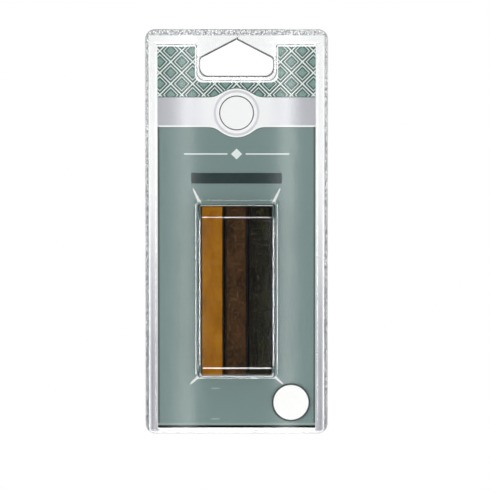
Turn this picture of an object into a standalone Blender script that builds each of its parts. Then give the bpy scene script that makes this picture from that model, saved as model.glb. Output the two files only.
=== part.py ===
"""Clear clamshell hang pack with a printed card and three wax touch-up crayons.

Metres, +Z up. The pack stands upright with its front towards -Y. The origin is the apex of the
hang hole, in the plane where the two clear shells meet.
"""

import math

import bmesh
import bpy
import numpy as np
from mathutils import Matrix, Vector

# Sheet and fits
SHEET = 0.0005             # thickness of the formed clear sheet
GAP = 0.0003               # clearance between pieces that lie against each other
FORM_RADIUS = 0.0003       # bends of the tray, on their inner side

# Printed card
CARD_WIDTH = 0.0692
CARD_HEIGHT = 0.1678
CARD_THICKNESS = 0.0004
CARD_CORNER = 0.0004
CARD_PLAY = 0.0007         # from the card's edge to the tray's wall, in the plane of the front

# Hang hole, a wide triangle on a short band
HOLE_WIDTH = 0.032
HOLE_HEIGHT = 0.01585
HOLE_SHOULDER_DROP = 0.0083
HOLE_APEX_RADIUS = 0.0006
HOLE_SHOULDER_RADIUS = 0.002
HOLE_FOOT_RADIUS = 0.0036
HOLE_SIDE_LAND = 0.0007    # flat sheet beside the hole, before the tray's wall
HOLE_LOWER_LAND = 0.0013   # flat sheet under the hole
SLIT_WIDTH = 0.0003        # slit from the hole's apex through the top edge
SLIT_LEAN = 24.0           # degrees from upright

# Rim round the tray, where the two shells are sealed
HANG_TO_TOP = 0.0045       # from the hole's apex up to the pack's top edge
TOP_RIM = 0.0059
SIDE_RIM = 0.0018
LOWER_RIM = 0.0012
PACK_CORNER = 0.0044

# Tray that lifts the front to the card
TRAY_DEPTH = 0.0022
TRAY_SIDE_RUN = 0.0029     # how far the sloped side wall leans in
TRAY_END_RUN = 0.0008      # the same for the top, lower and notch walls
TRAY_CORNER = 0.0009       # plan corner radius at the front
NOTCH_CORNER = 0.003       # plan corner radius under the hang hole
PLUG_INSET = 0.0042        # rear shell's plug, inside the tray's foot and behind the card
PLUG_RUN = 0.0008

# Wax crayons
CRAYON_WIDTH = 0.0095
CRAYON_DEPTH = 0.0072
CRAYON_LENGTH = 0.0746
CRAYON_SPACE = 0.001       # between neighbouring crayons
CRAYON_LIFT = 0.0238       # from the card's lower edge up to the crayons' feet
CRAYON_EDGE = 0.0006       # rounding of the cast edges
CRAYON_EASE_LENGTH = 0.003   # front of each end eased off, along the crayon
CRAYON_EASE_DEPTH = 0.0011   # and into it

# Bubble over the crayons
BUBBLE_SIDE_PLAY = 0.0005
BUBBLE_TOP_PLAY = 0.0008   # how far a crayon can be pushed up before it meets the wall
BUBBLE_ROOF_PLAY = 0.0012
BUBBLE_SIDE_RUN = 0.0019   # draft of the side walls
BUBBLE_END_RUN = 0.0009    # draft of the end walls, up to the slopes
BUBBLE_SLOPE_RISE = 0.0022   # slopes between the end walls and the roof
BUBBLE_TOP_SLOPE = 0.0059
BUBBLE_LOWER_SLOPE = 0.004
BUBBLE_CORNER = 0.0016
BUBBLE_RADIUS = 0.00055    # bends of the bubble, on their inner side

# Webs, the folds of sheet that run out from the bubble's corners
WEB_TOP_LENGTH = 0.005
WEB_LOWER_LENGTH = 0.0038
WEB_TOP_ANGLE = 64.0       # degrees above level
WEB_LOWER_ANGLE = 43.0     # degrees below level
WEB_WIDTH = 0.0014
WEB_RISE = 0.0018
WEB_ROOT = 0.00035         # how far a web is sunk into the sheet that it grows from

# Round shade label
LABEL_DIAMETER = 0.0168
LABEL_THICKNESS = 0.00015
LABEL_GLUE = 0.0001
LABEL_INSET = 0.0107       # its centre, from the card's side edge
LABEL_LIFT = 0.0113        # its centre, from the card's lower edge

# Facets
ARC_STEPS = 6              # chords to a plan corner
BEND_STEPS = 3             # chords to a bend of the sheet
LABEL_SIDES = 64

# Levels in depth, worked out from the parting plane at Y = 0
FRONT_RIM_Y = -(GAP + SHEET) / 2
BACK_RIM_Y = (GAP + SHEET) / 2
FACE_Y = FRONT_RIM_Y - TRAY_DEPTH
CARD_FRONT_Y = FACE_Y + SHEET / 2 + GAP
CARD_BACK_Y = CARD_FRONT_Y + CARD_THICKNESS
PLUG_Y = CARD_BACK_Y + GAP + SHEET / 2
CRAYON_BACK_Y = CARD_FRONT_Y - GAP
CRAYON_FRONT_Y = CRAYON_BACK_Y - CRAYON_DEPTH
ROOF_Y = CRAYON_FRONT_Y - BUBBLE_ROOF_PLAY - SHEET / 2
BUBBLE_RISE = FACE_Y - ROOF_Y

# Outline of the tray's foot, from the card and the hang hole outwards
TRAY_HALF = CARD_WIDTH / 2 + CARD_PLAY + TRAY_SIDE_RUN
TRAY_TOP = HANG_TO_TOP - TOP_RIM
CARD_TOP = TRAY_TOP - TRAY_END_RUN - CARD_PLAY
CARD_BOTTOM = CARD_TOP - CARD_HEIGHT
TRAY_BOTTOM = CARD_BOTTOM - CARD_PLAY - TRAY_END_RUN
NOTCH_HALF = HOLE_WIDTH / 2 + HOLE_SIDE_LAND
NOTCH_BOTTOM = -HOLE_HEIGHT - HOLE_LOWER_LAND
PACK_HALF = TRAY_HALF + SIDE_RIM
PACK_BOTTOM = TRAY_BOTTOM - LOWER_RIM

# Outline of the bubble's foot, from the crayons outwards
CRAYON_PITCH = CRAYON_WIDTH + CRAYON_SPACE
CRAYON_BOTTOM = CARD_BOTTOM + CRAYON_LIFT
CRAYON_TOP = CRAYON_BOTTOM + CRAYON_LENGTH
BUBBLE_HALF = CRAYON_PITCH + CRAYON_WIDTH / 2 + BUBBLE_SIDE_PLAY + SHEET / 2 + BUBBLE_SIDE_RUN
BUBBLE_TOP = CRAYON_TOP + BUBBLE_TOP_PLAY + SHEET / 2 + BUBBLE_END_RUN
BUBBLE_BOTTOM = CRAYON_BOTTOM - GAP - SHEET / 2 - BUBBLE_END_RUN


def rounded(corners, radii, closed=True, steps=ARC_STEPS):
    """Points of an outline whose corners are turned into arcs. An open outline's two end points
    only give the direction of its first and last line."""
    corners = [Vector(corner) for corner in corners]
    turned = range(len(corners)) if closed else range(1, len(corners) - 1)
    points = []
    for i in turned:
        back = (corners[i - 1] - corners[i]).normalized()
        ahead = (corners[(i + 1) % len(corners)] - corners[i]).normalized()
        half = back.angle(ahead) / 2
        centre = corners[i] + (back + ahead).normalized() * radii[i] / math.sin(half)
        start = corners[i] + back * radii[i] / math.tan(half) - centre
        end = corners[i] + ahead * radii[i] / math.tan(half) - centre
        spokes = [start.slerp(end, k / steps) for k in range(steps + 1)]
        points += [centre + spoke * radii[i] for spoke in spokes]
    return np.array(points)


def notched_outline(half, bottom, top, notch_half, notch_bottom, corner, notch_corner):
    """Rectangle with a notch for the hang hole in its top edge, counter-clockwise from the front."""
    corners = [
        (-half, bottom), (half, bottom), (half, top), (notch_half, top),
        (notch_half, notch_bottom), (-notch_half, notch_bottom), (-notch_half, top), (-half, top),
    ]
    return rounded(corners, [corner] * 4 + [notch_corner] * 2 + [corner] * 2)


def box_outline(half, bottom, top, corner):
    """Rounded rectangle, counter-clockwise from the front."""
    return rounded([(-half, bottom), (half, bottom), (half, top), (-half, top)], [corner] * 4)


def hole_outline():
    """Hang hole: a triangle with its apex at the origin, on a band with round lower corners."""
    half = HOLE_WIDTH / 2
    corners = [
        (0, 0), (-half, -HOLE_SHOULDER_DROP), (-half, -HOLE_HEIGHT),
        (half, -HOLE_HEIGHT), (half, -HOLE_SHOULDER_DROP),
    ]
    shoulder, foot = HOLE_SHOULDER_RADIUS, HOLE_FOOT_RADIUS
    return rounded(corners, [HOLE_APEX_RADIUS, shoulder, foot, foot, shoulder])


def wall_profile(corners, inner_radius):
    """Middle of a formed wall as (run, rise) points, with level sheet before and after it."""
    level_before = (corners[0][0] - 1, corners[0][1])
    level_after = (corners[-1][0] + 1, corners[-1][1])
    path = [level_before] + corners + [level_after]
    return rounded(path, [inner_radius + SHEET / 2] * len(path), closed=False, steps=BEND_STEPS)


def stand_up(outline, y, rises):
    """Plan outline set upright at a depth. rises gives how far each straight wall has come
    forward, and a corner's arc goes evenly from the wall before it to the wall after it."""
    climbs = [np.linspace(rises[i - 1], rises[i], ARC_STEPS + 1) for i in range(len(rises))]
    return np.column_stack([outline[:, 0], y - np.concatenate(climbs), outline[:, 1]])


def flat_loop(outline, y):
    """Plan outline set upright at one depth."""
    return [(x, y, z) for x, z in outline]


def tray_rings(inset, rim_y, rise, side_run, end_run):
    """Rings up the wall of a notched tray, from its foot at the rim to its face."""
    side = wall_profile([(0, 0), (side_run, rise)], FORM_RADIUS)
    end = wall_profile([(0, 0), (end_run, rise)], FORM_RADIUS)
    rings = []
    for (by_side, side_rise), (by_end, end_rise) in zip(side, end):
        outline = notched_outline(
            TRAY_HALF - inset - by_side, TRAY_BOTTOM + inset + by_end, TRAY_TOP - inset - by_end,
            NOTCH_HALF + inset + by_end, NOTCH_BOTTOM - inset - by_end,
            TRAY_CORNER + end_run - by_end, NOTCH_CORNER + by_end,
        )
        rings.append(stand_up(outline, rim_y, [end_rise, side_rise] + [end_rise] * 5 + [side_rise]))
    return rings


def bubble_rings():
    """Rings up the bubble: drafted walls all round, and slopes from the end walls to the roof.
    The side walls have no break, so they take spare points at the height of the top end's break."""
    break_point = (BUBBLE_END_RUN, BUBBLE_RISE - BUBBLE_SLOPE_RISE)
    top_edge = (BUBBLE_END_RUN + BUBBLE_TOP_SLOPE, BUBBLE_RISE)
    lower_edge = (BUBBLE_END_RUN + BUBBLE_LOWER_SLOPE, BUBBLE_RISE)
    top = wall_profile([(0, 0), break_point, top_edge], BUBBLE_RADIUS)
    lower = wall_profile([(0, 0), break_point, lower_edge], BUBBLE_RADIUS)
    bend = BEND_STEPS + 1
    side = wall_profile([(0, 0), (BUBBLE_SIDE_RUN, BUBBLE_RISE)], BUBBLE_RADIUS)
    break_rises = top[bend:2 * bend, 1]
    spare = np.column_stack([BUBBLE_SIDE_RUN * break_rises / BUBBLE_RISE, break_rises])
    side = np.concatenate([side[:bend], spare, side[bend:]])
    rings = []
    for (by_side, side_rise), (by_top, top_rise), (by_lower, lower_rise) in zip(side, top, lower):
        outline = box_outline(
            BUBBLE_HALF - by_side, BUBBLE_BOTTOM + by_lower, BUBBLE_TOP - by_top, BUBBLE_CORNER
        )
        rings.append(stand_up(outline, FACE_Y, [lower_rise, side_rise, top_rise, side_rise]))
    return rings


def add_loop(bm, points):
    """Closed loop of edges."""
    verts = [bm.verts.new(point) for point in points]
    return verts, [bm.edges.new((verts[i - 1], verts[i])) for i in range(len(verts))]


def add_loft(bm, rings):
    """Quads between neighbouring rings. Returns the edges of the first and of the last ring."""
    loops = [[bm.verts.new(point) for point in ring] for ring in rings]
    for lower, upper in zip(loops, loops[1:]):
        for i in range(len(lower)):
            bm.faces.new((lower[i - 1], lower[i], upper[i], upper[i - 1]))
    ends = []
    for loop in (loops[0], loops[-1]):
        ends.append([bm.edges.get((loop[i - 1], loop[i])) for i in range(len(loop))])
    return ends


def fill_flat(bm, edges):
    """Flat sheet between closed loops of edges, facing the front."""
    bmesh.ops.triangle_fill(bm, use_beauty=True, edges=edges, normal=(0, -1, 0))


def add_rim(bm, y, tray_foot):
    """Flat rim from the pack's outline in to the tray's foot, with the hang hole left open."""
    outline = box_outline(PACK_HALF, PACK_BOTTOM, HANG_TO_TOP, PACK_CORNER)
    outer = add_loop(bm, flat_loop(outline, y))[1]
    hole = add_loop(bm, flat_loop(hole_outline(), y))[1]
    fill_flat(bm, outer + hole + tray_foot)


def make_material(name, colour, roughness, alpha=1.0):
    """Principled material with one colour."""
    material = bpy.data.materials.new(name)
    material.use_nodes = True
    shader = material.node_tree.nodes["Principled BSDF"]
    shader.inputs["Base Color"].default_value = (*colour, 1)
    shader.inputs["Roughness"].default_value = roughness
    shader.inputs["Metallic"].default_value = 0
    shader.inputs["Alpha"].default_value = alpha
    return material


def make_object(name, bm, collection, material=None):
    """Mesh object from a finished bmesh."""
    mesh = bpy.data.meshes.new(name)
    bm.to_mesh(mesh)
    bm.free()
    obj = bpy.data.objects.new(name, mesh)
    collection.objects.link(obj)
    if material:
        mesh.materials.append(material)
    return obj


def make_tool(name, bm, collection):
    """Hidden solid that cuts a piece, or is joined to it."""
    obj = make_object(name, bm, collection)
    obj.hide_render = True
    obj.display_type = "WIRE"
    return obj


def thicken(obj):
    """Give a formed surface the thickness of the sheet, half to each side."""
    solid = obj.modifiers.new("Sheet", "SOLIDIFY")
    solid.thickness = SHEET
    solid.offset = 0
    solid.use_even_offset = True
    solid.use_quality_normals = True


def combine(obj, tool, operation):
    """Boolean of a piece with a hidden solid."""
    boolean = obj.modifiers.new(tool.name, "BOOLEAN")
    boolean.operation = operation
    boolean.object = tool


def make_slit(collection):
    """Thin leaning blade through both rims, from inside the hang hole to above the top edge."""
    length = 2 * HANG_TO_TOP / math.cos(math.radians(SLIT_LEAN))
    depth = 4 * (SHEET + GAP)
    bm = bmesh.new()
    bmesh.ops.create_cube(bm, size=1)
    bmesh.ops.scale(bm, vec=(SLIT_WIDTH, depth, length), verts=bm.verts)
    lift = Matrix.Translation((0, 0, length / 2 - HOLE_APEX_RADIUS))
    lean = Matrix.Rotation(math.radians(SLIT_LEAN), 4, "Y")
    bmesh.ops.transform(bm, matrix=lean @ lift, verts=bm.verts)
    return make_tool("slit_blade", bm, collection)


def make_webs(collection):
    """Four tapered folds of sheet, from the bubble's corners out along its face."""
    face = FACE_Y - SHEET / 2
    draft = BUBBLE_SIDE_RUN / BUBBLE_RISE
    corner_in = BUBBLE_CORNER * (1 - math.sqrt(0.5))
    bm = bmesh.new()
    for side in (-1, 1):
        for length, angle, end_z, up in (
            (WEB_TOP_LENGTH, WEB_TOP_ANGLE, BUBBLE_TOP, 1),
            (WEB_LOWER_LENGTH, WEB_LOWER_ANGLE, BUBBLE_BOTTOM, -1),
        ):
            turn = math.radians(angle)
            along = Vector((side * math.cos(turn), 0, up * math.sin(turn)))
            across = Vector((-along.z, 0, along.x)) * WEB_WIDTH / 2
            corner = Vector((side * (BUBBLE_HALF - corner_in), face, end_z - up * corner_in))
            root = corner - Vector((side, 0, up)) * (draft * WEB_RISE)
            sunk = Vector((0, WEB_ROOT, 0))
            crest = Vector((0, -WEB_RISE, 0))
            tip = corner + along * length
            points = [root - across + sunk, root + across + sunk, root + crest, tip + sunk, tip]
            verts = [bm.verts.new(point) for point in points]
            bmesh.ops.convex_hull(bm, input=verts)
    bmesh.ops.recalc_face_normals(bm, faces=bm.faces)
    return make_tool("corner_webs", bm, collection)


def make_front_shell(collection, material, slit, webs):
    """Front of the pack: rim, tray, face and bubble formed in one sheet."""
    bm = bmesh.new()
    tray_foot, tray_face = add_loft(
        bm, tray_rings(0, FRONT_RIM_Y, TRAY_DEPTH, TRAY_SIDE_RUN, TRAY_END_RUN)
    )
    bubble_foot, bubble_roof = add_loft(bm, bubble_rings())
    add_rim(bm, FRONT_RIM_Y, tray_foot)
    fill_flat(bm, tray_face + bubble_foot)
    fill_flat(bm, bubble_roof)
    shell = make_object("front_shell", bm, collection, material)
    thicken(shell)
    combine(shell, webs, "UNION")
    combine(shell, slit, "DIFFERENCE")
    return shell


def make_back_shell(collection, material, slit):
    """Back of the pack: rim, and a plug that nests in the tray and presses the card forward."""
    bm = bmesh.new()
    plug_foot, plug_face = add_loft(
        bm, tray_rings(PLUG_INSET, BACK_RIM_Y, BACK_RIM_Y - PLUG_Y, PLUG_RUN, PLUG_RUN)
    )
    add_rim(bm, BACK_RIM_Y, plug_foot)
    fill_flat(bm, plug_face)
    shell = make_object("back_shell", bm, collection, material)
    thicken(shell)
    combine(shell, slit, "DIFFERENCE")
    return shell


def extrude_outline(points, step):
    """Closed solid from a flat outline pushed along a step."""
    bm = bmesh.new()
    face = bm.faces.new([bm.verts.new(point) for point in points])
    pushed = bmesh.ops.extrude_face_region(bm, geom=[face])["geom"]
    moved = [item for item in pushed if isinstance(item, bmesh.types.BMVert)]
    bmesh.ops.translate(bm, vec=step, verts=moved)
    bmesh.ops.recalc_face_normals(bm, faces=bm.faces)
    return bm


def make_card(collection, material):
    """Printed card, notched round the hang hole."""
    outline = notched_outline(
        CARD_WIDTH / 2, CARD_BOTTOM, CARD_TOP,
        NOTCH_HALF + TRAY_END_RUN + CARD_PLAY, NOTCH_BOTTOM - TRAY_END_RUN - CARD_PLAY,
        CARD_CORNER, NOTCH_CORNER,
    )
    bm = extrude_outline(flat_loop(outline, CARD_FRONT_Y), (0, CARD_THICKNESS, 0))
    return make_object("insert_card", bm, collection, material)


def make_label(collection, material):
    """Round paper label on the outside of the front."""
    bm = bmesh.new()
    bmesh.ops.create_cone(
        bm, cap_ends=True, segments=LABEL_SIDES, depth=LABEL_THICKNESS,
        radius1=LABEL_DIAMETER / 2, radius2=LABEL_DIAMETER / 2,
        matrix=Matrix.Rotation(math.radians(90), 4, "X"),
    )
    label = make_object("shade_label", bm, collection, material)
    label.location = (
        CARD_WIDTH / 2 - LABEL_INSET,
        FACE_Y - SHEET / 2 - LABEL_GLUE - LABEL_THICKNESS / 2,
        CARD_BOTTOM + LABEL_LIFT,
    )
    return label


def make_crayon(name, x, collection, material):
    """Cast wax bar with soft edges. The front of each end is eased off. Its origin is at its foot."""
    ease_y = CRAYON_EASE_DEPTH - CRAYON_DEPTH
    ease_z = CRAYON_EASE_LENGTH
    section = [
        (0, 0), (0, CRAYON_LENGTH), (ease_y, CRAYON_LENGTH), (-CRAYON_DEPTH, CRAYON_LENGTH - ease_z),
        (-CRAYON_DEPTH, ease_z), (ease_y, 0),
    ]
    left = -CRAYON_WIDTH / 2
    bm = extrude_outline([(left, y, z) for y, z in section], (CRAYON_WIDTH, 0, 0))
    crayon = make_object(name, bm, collection, material)
    crayon.location = (x, CRAYON_BACK_Y, CRAYON_BOTTOM)
    edges = crayon.modifiers.new("Cast edges", "BEVEL")
    edges.width = CRAYON_EDGE
    edges.segments = BEND_STEPS
    edges.limit_method = "ANGLE"
    edges.angle_limit = math.radians(10)
    return crayon


def make_hinge(collection):
    """Empty on the fold under the lower edge, about which the front opens."""
    hinge = bpy.data.objects.new("shell_hinge", None)
    hinge.empty_display_size = PACK_HALF
    hinge.location = (0, 0, PACK_BOTTOM - GAP / 2)
    collection.objects.link(hinge)
    return hinge


def main():
    for obj in list(bpy.data.objects):
        bpy.data.objects.remove(obj)

    parts = bpy.data.collections.new("retouch_crayon_pack")
    tools = bpy.data.collections.new("cutters")
    bpy.context.scene.collection.children.link(parts)
    bpy.context.scene.collection.children.link(tools)

    clear_sheet = make_material("clear sheet", (0.95, 0.96, 0.97), 0.05, alpha=0.25)
    printed_card = make_material("printed card", (0.19, 0.27, 0.26), 0.5)
    white_paper = make_material("white paper", (0.95, 0.95, 0.94), 0.6)
    waxes = {
        "crayon_ochre": make_material("ochre wax", (0.30, 0.13, 0.016), 0.5),
        "crayon_brown": make_material("brown wax", (0.055, 0.032, 0.018), 0.5),
        "crayon_dark": make_material("dark wax", (0.02, 0.018, 0.011), 0.5),
    }

    slit = make_slit(tools)
    webs = make_webs(tools)
    make_back_shell(parts, clear_sheet, slit)
    make_card(parts, printed_card)
    opening = [make_front_shell(parts, clear_sheet, slit, webs), make_label(parts, white_paper)]
    for place, (name, wax) in enumerate(waxes.items()):
        opening.append(make_crayon(name, (place - 1) * CRAYON_PITCH, parts, wax))

    hinge = make_hinge(parts)
    for obj in opening:
        obj.parent = hinge
        obj.matrix_parent_inverse = Matrix.Translation(-hinge.location)


main()
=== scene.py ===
"""Looks of a clear hang pack with three wax touch-up crayons, laid out as a Blender add-on.

Metres, +Z up, front of the pack towards -Y. The origin is the apex of the hang hole.
"""

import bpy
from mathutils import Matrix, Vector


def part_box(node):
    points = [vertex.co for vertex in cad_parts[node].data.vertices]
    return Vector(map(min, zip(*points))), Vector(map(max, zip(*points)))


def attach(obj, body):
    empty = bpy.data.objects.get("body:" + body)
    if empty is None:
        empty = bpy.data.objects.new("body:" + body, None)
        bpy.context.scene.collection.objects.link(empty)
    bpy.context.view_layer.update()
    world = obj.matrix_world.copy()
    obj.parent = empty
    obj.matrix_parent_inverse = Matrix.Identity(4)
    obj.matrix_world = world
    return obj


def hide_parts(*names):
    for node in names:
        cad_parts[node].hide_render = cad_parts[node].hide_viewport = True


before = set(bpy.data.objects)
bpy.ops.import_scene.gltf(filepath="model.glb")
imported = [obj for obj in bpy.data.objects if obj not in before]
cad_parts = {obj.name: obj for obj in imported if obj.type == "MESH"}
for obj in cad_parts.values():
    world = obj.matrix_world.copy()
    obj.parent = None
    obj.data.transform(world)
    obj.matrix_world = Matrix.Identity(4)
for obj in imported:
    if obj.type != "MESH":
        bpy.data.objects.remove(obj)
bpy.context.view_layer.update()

import math

import bpy
import numpy as np
from bpy.props import FloatProperty, FloatVectorProperty, PointerProperty
from mathutils import Vector
from mathutils.geometry import delaunay_2d_cdt

bl_info = {
    "name": "Retouch Crayon Pack",
    "version": (1, 0, 0),
    "blender": (4, 5, 0),
    "location": "View3D > Sidebar > Crayon Pack",
    "description": "Clear formed shells, printed card, paper label and cast wax crayons on a packed frame",
    "category": "Object",
}

MM = 0.001
IMAGE_WIDTH = 490
PIXEL = 0.439 * MM     # one pixel of the photograph, in the plane of the card
SHARP = 0.02 * MM      # radius of a corner that stays sharp to the eye
APEX = 0.15 * MM       # radius of the hang hole's apex
ARC_STEPS = 14         # chords to a plan corner
HOLE_STEPS = 10        # chords to a corner of the hole
SEAL_ROWS = 11         # points across the knurled seal
SEAL_COLUMNS = 2400    # and along it

FRONT_LOW, FRONT_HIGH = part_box("front_shell")
BACK_LOW, BACK_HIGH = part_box("back_shell")
CARD_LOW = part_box("insert_card")[0]
LABEL_LOW, LABEL_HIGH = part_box("shade_label")
CRAYON_BOXES = {name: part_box("crayon_" + name) for name in ("ochre", "brown", "dark")}


def linear(colour):
    """sRGB hex to linear: v / 12.92 below 0.04045, else ((v + 0.055) / 1.055) ^ 2.4."""
    values = [int(colour[i:i + 2], 16) / 255 for i in (1, 3, 5)]
    return tuple(v / 12.92 if v <= 0.04045 else ((v + 0.055) / 1.055) ** 2.4 for v in values)


def length(name, millimetres, description):
    """Length property whose default is written in millimetres."""
    return FloatProperty(
        name=name, description=description, default=millimetres * MM, min=0, unit="LENGTH", precision=5
    )


def colour(name, hex_value, description):
    """Colour property whose default is an sRGB hex value."""
    return FloatVectorProperty(
        name=name, description=description, default=linear(hex_value), size=3, min=0, max=1, subtype="COLOR"
    )


class PackShellSizes(bpy.types.PropertyGroup):
    """Sizes of the two clear shells."""

    sheet: length("Sheet", 0.5, "Thickness of the formed sheet")
    cut_edge: length("Hole edge", 0.9, "How far the hole's cut edge tapers, in the plane of the sheet")
    outer_edge: length("Outer edge", 0.22, "How far the outer cut edge tapers, in the plane of the sheet")
    tray_radius: length("Tray bends", 0.3, "Inner radius of the tray's bends")
    bubble_radius: length("Bubble bends", 0.7, "Inner radius of the bubble's bends")
    bubble_roof: length("Bubble roof bends", 1.6, "Inner radius of the bends between the slopes and the roof")
    bubble_foot: length("Bubble side foot", 1.3, "Inner radius of the bend at the foot of the side walls")
    bubble_top_foot: length("Bubble top foot", 0.2, "Inner radius of the bend at the top wall's foot")
    bubble_lower_foot: length("Bubble lower foot", 0.45, "Inner radius of the bend at the lower wall's foot")
    pack_corner: length("Pack corner", 4.4, "Radius of the pack's outer corners")
    hole_width: length("Hole width", 32, "Width of the hang hole")
    hole_height: length("Hole height", 15.85, "Height of the hang hole, from its apex")
    hole_shoulder: length("Hole shoulder", 8.3, "From the apex down to the shoulders")
    shoulder_radius: length("Shoulder radius", 2, "Rounding of the hole's shoulders")
    foot_radius: length("Foot radius", 3.6, "Rounding of the hole's lower corners")
    slit_width: length("Slit width", 0.3, "Width of the slit above the apex")
    slit_lean: FloatProperty(
        name="Slit lean", description="Lean of the slit from upright",
        default=math.radians(24), subtype="ANGLE",
    )
    side_rim: length("Side rim", 1.8, "From the pack's side edges to the tray's foot")
    top_rim: length("Top rim", 5.9, "From the pack's top edge to the tray's foot")
    lower_rim: length("Lower rim", 1.2, "From the pack's lower edge to the tray's foot")
    side_run: length("Side wall run", 2.9, "How far the tray's side walls lean in")
    end_run: length("End wall run", 0.8, "How far the tray's other walls lean in")
    tray_corner: length("Tray corner", 0.9, "Plan corner radius of the tray's face")
    notch_corner: length("Notch corner", 3, "Plan corner radius of the tray under the hole")
    hole_side_land: length("Side land", 0.7, "Flat sheet beside the hole")
    hole_lower_land: length("Lower land", 1.3, "Flat sheet under the hole")
    plug_inset: length("Plug inset", 4.2, "From the tray's foot in to the rear plug's foot")
    plug_run: length("Plug run", 0.8, "How far the rear plug's walls lean in")
    card_gap: length("Card gap", 0.3, "From the card to the face of the tray")
    side_play: length("Side play", 0.9, "From the outer crayons to the bubble's roof")
    top_play: length("Top play", 1.45, "From the crayons' boxes up to the bubble's foot")
    lower_play: length("Lower play", 0.3, "From the crayons down to the bubble's lower wall")
    bubble_side_run: length("Bubble side run", 0.7, "Draft of the bubble's side walls")
    bubble_top_run: length("Bubble top run", 1.3, "Draft of the bubble's top wall")
    bubble_end_run: length("Bubble lower run", 0.9, "Draft of the bubble's lower wall")
    crayon_trim: length("Crayon trim", 0.4, "How much the crayons are cut short under the leaning top wall")
    slope_rise: length("Slope rise", 2.2, "Rise of the slopes between end walls and roof")
    top_slope: length("Top slope", 5.25, "Run of the top slope")
    lower_slope: length("Lower slope", 4, "Run of the lower slope")
    bubble_corner: length("Bubble corner", 0.9, "Plan corner radius of the bubble")
    seal_top: length("Top seal", 2.3, "Width of the knurled seal along the top")
    seal_side: length("Side seal", 1.45, "Width of the knurled seal along the sides")
    seal_lower: length("Lower seal", 0.75, "Width of the seal along the lower edge")
    knurl_pitch: length("Knurl pitch", 0.95, "Spacing of the knurl's rows")
    knurl_depth: length("Knurl depth", 0.3, "Height of the knurl's points")
    web_top: length("Top web", 7.3, "Length of the folds at the bubble's top corners")
    web_lower: length("Lower web", 5.9, "Length of the folds at the bubble's lower corners")
    web_rise: length("Web rise", 1.7, "Height of the folds where they leave the bubble")
    web_width: length("Web width", 1.4, "Width of the folds where they leave the bubble")


class PackColours(bpy.types.PropertyGroup):
    """Colours of the printed, cast and paper surfaces."""

    teal: colour("Teal", "#7b908d", "Ground of the card")
    deep_teal: colour("Deep teal", "#47635d", "Dark ground of the trellis")
    pale_teal: colour("Pale teal", "#7d9c95", "Lozenges of the trellis")
    line_white: colour("Line white", "#e9f2ef", "Light lines of the print")
    silver: colour("Silver", "#c0c1c7", "Outer ends of the silver band")
    bar: colour("Bar", "#2b3a3a", "Dark bar across the card")
    board: colour("Board", "#d9d7cf", "Unprinted back of the card")
    paper: colour("Paper", "#ffffff", "Round label")
    ochre: colour("Ochre", "#8f5a02", "Light wax crayon")
    brown: colour("Brown", "#362208", "Middle wax crayon")
    dark: colour("Dark", "#090800", "Dark wax crayon")


def unit(vectors):
    """Vectors divided by their length."""
    return vectors / np.linalg.norm(vectors, axis=-1, keepdims=True)


def round_corners(corners, radii, steps):
    """Outline whose corners are arcs: the centre lies on the bisector at r / sin(half the corner's
    angle), and its spokes turn evenly from one side's touching point to the other's."""
    radii = np.asarray(radii, float)[:, None]
    back = unit(np.roll(corners, 1, axis=0) - corners)
    ahead = unit(np.roll(corners, -1, axis=0) - corners)
    half = np.arccos(np.clip((back * ahead).sum(axis=1, keepdims=True), -1, 1)) / 2
    centre = corners + unit(back + ahead) * radii / np.sin(half)
    start = corners + back * radii / np.tan(half) - centre
    end = corners + ahead * radii / np.tan(half) - centre
    turn = (math.pi - 2 * half)[:, :, None]
    t = np.linspace(0, 1, steps + 1)[None, :, None]
    spokes = (np.sin((1 - t) * turn) * start[:, None] + np.sin(t * turn) * end[:, None]) / np.sin(turn)
    return centre[:, None] + spokes


def with_sides(arcs, count=11):
    """Rounded outline with points on its straight sides too, closer together towards the corners."""
    start, end = arcs[:, -1:], np.roll(arcs[:, :1], -1, axis=0)
    share = (1 - np.cos(np.linspace(0, math.pi, count + 2)[1:-1])) / 2
    return np.concatenate([arcs, start + (end - start) * share[:, None]], axis=1)


def inset(corners, distances):
    """Polygon with each side moved to its left by its own distance: a corner's shift a solves
    a . n = d for the normals n of the two sides that meet there."""
    along = unit(np.roll(corners, -1, axis=0) - corners)
    after = np.column_stack([-along[:, 1], along[:, 0]])
    before = np.roll(after, 1, axis=0)
    d_after = np.asarray(distances, float)
    d_before = np.roll(d_after, 1)
    det = before[:, 0] * after[:, 1] - before[:, 1] * after[:, 0]
    shift_x = (d_before * after[:, 1] - d_after * before[:, 1]) / det
    shift_z = (before[:, 0] * d_after - after[:, 0] * d_before) / det
    return corners + np.column_stack([shift_x, shift_z])


def skin_profile(corners, inner_radius, sheet, side, steps):
    """One skin of a formed wall as (run, rise) points. Each bend is an arc of the middle radius R
    whose tangent turns evenly from angle a to b: point = centre - R (-sin p, cos p) for a left turn,
    and the skin lies half a sheet along the normal (-sin p, cos p), to the front for side 1."""
    corners = np.asarray(corners, float)
    steps_between = np.diff(corners, axis=0)
    angles = np.concatenate([[0], np.arctan2(steps_between[:, 1], steps_between[:, 0]), [0]])
    radius = np.asarray(inner_radius) + sheet / 2
    first, turn = angles[:-1], np.diff(angles)
    sign = np.sign(turn)
    tangent = radius * np.tan(np.abs(turn) / 2)
    start = corners - tangent[:, None] * np.column_stack([np.cos(first), np.sin(first)])
    centre = start + (radius * sign)[:, None] * np.column_stack([-np.sin(first), np.cos(first)])
    phase = first[:, None] + turn[:, None] * np.linspace(0, 1, steps + 1)
    normal = np.stack([-np.sin(phase), np.cos(phase)], axis=-1)
    points = centre[:, None] - (radius * sign)[:, None, None] * normal + side * sheet / 2 * normal
    return points.reshape(-1, 2)


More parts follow.
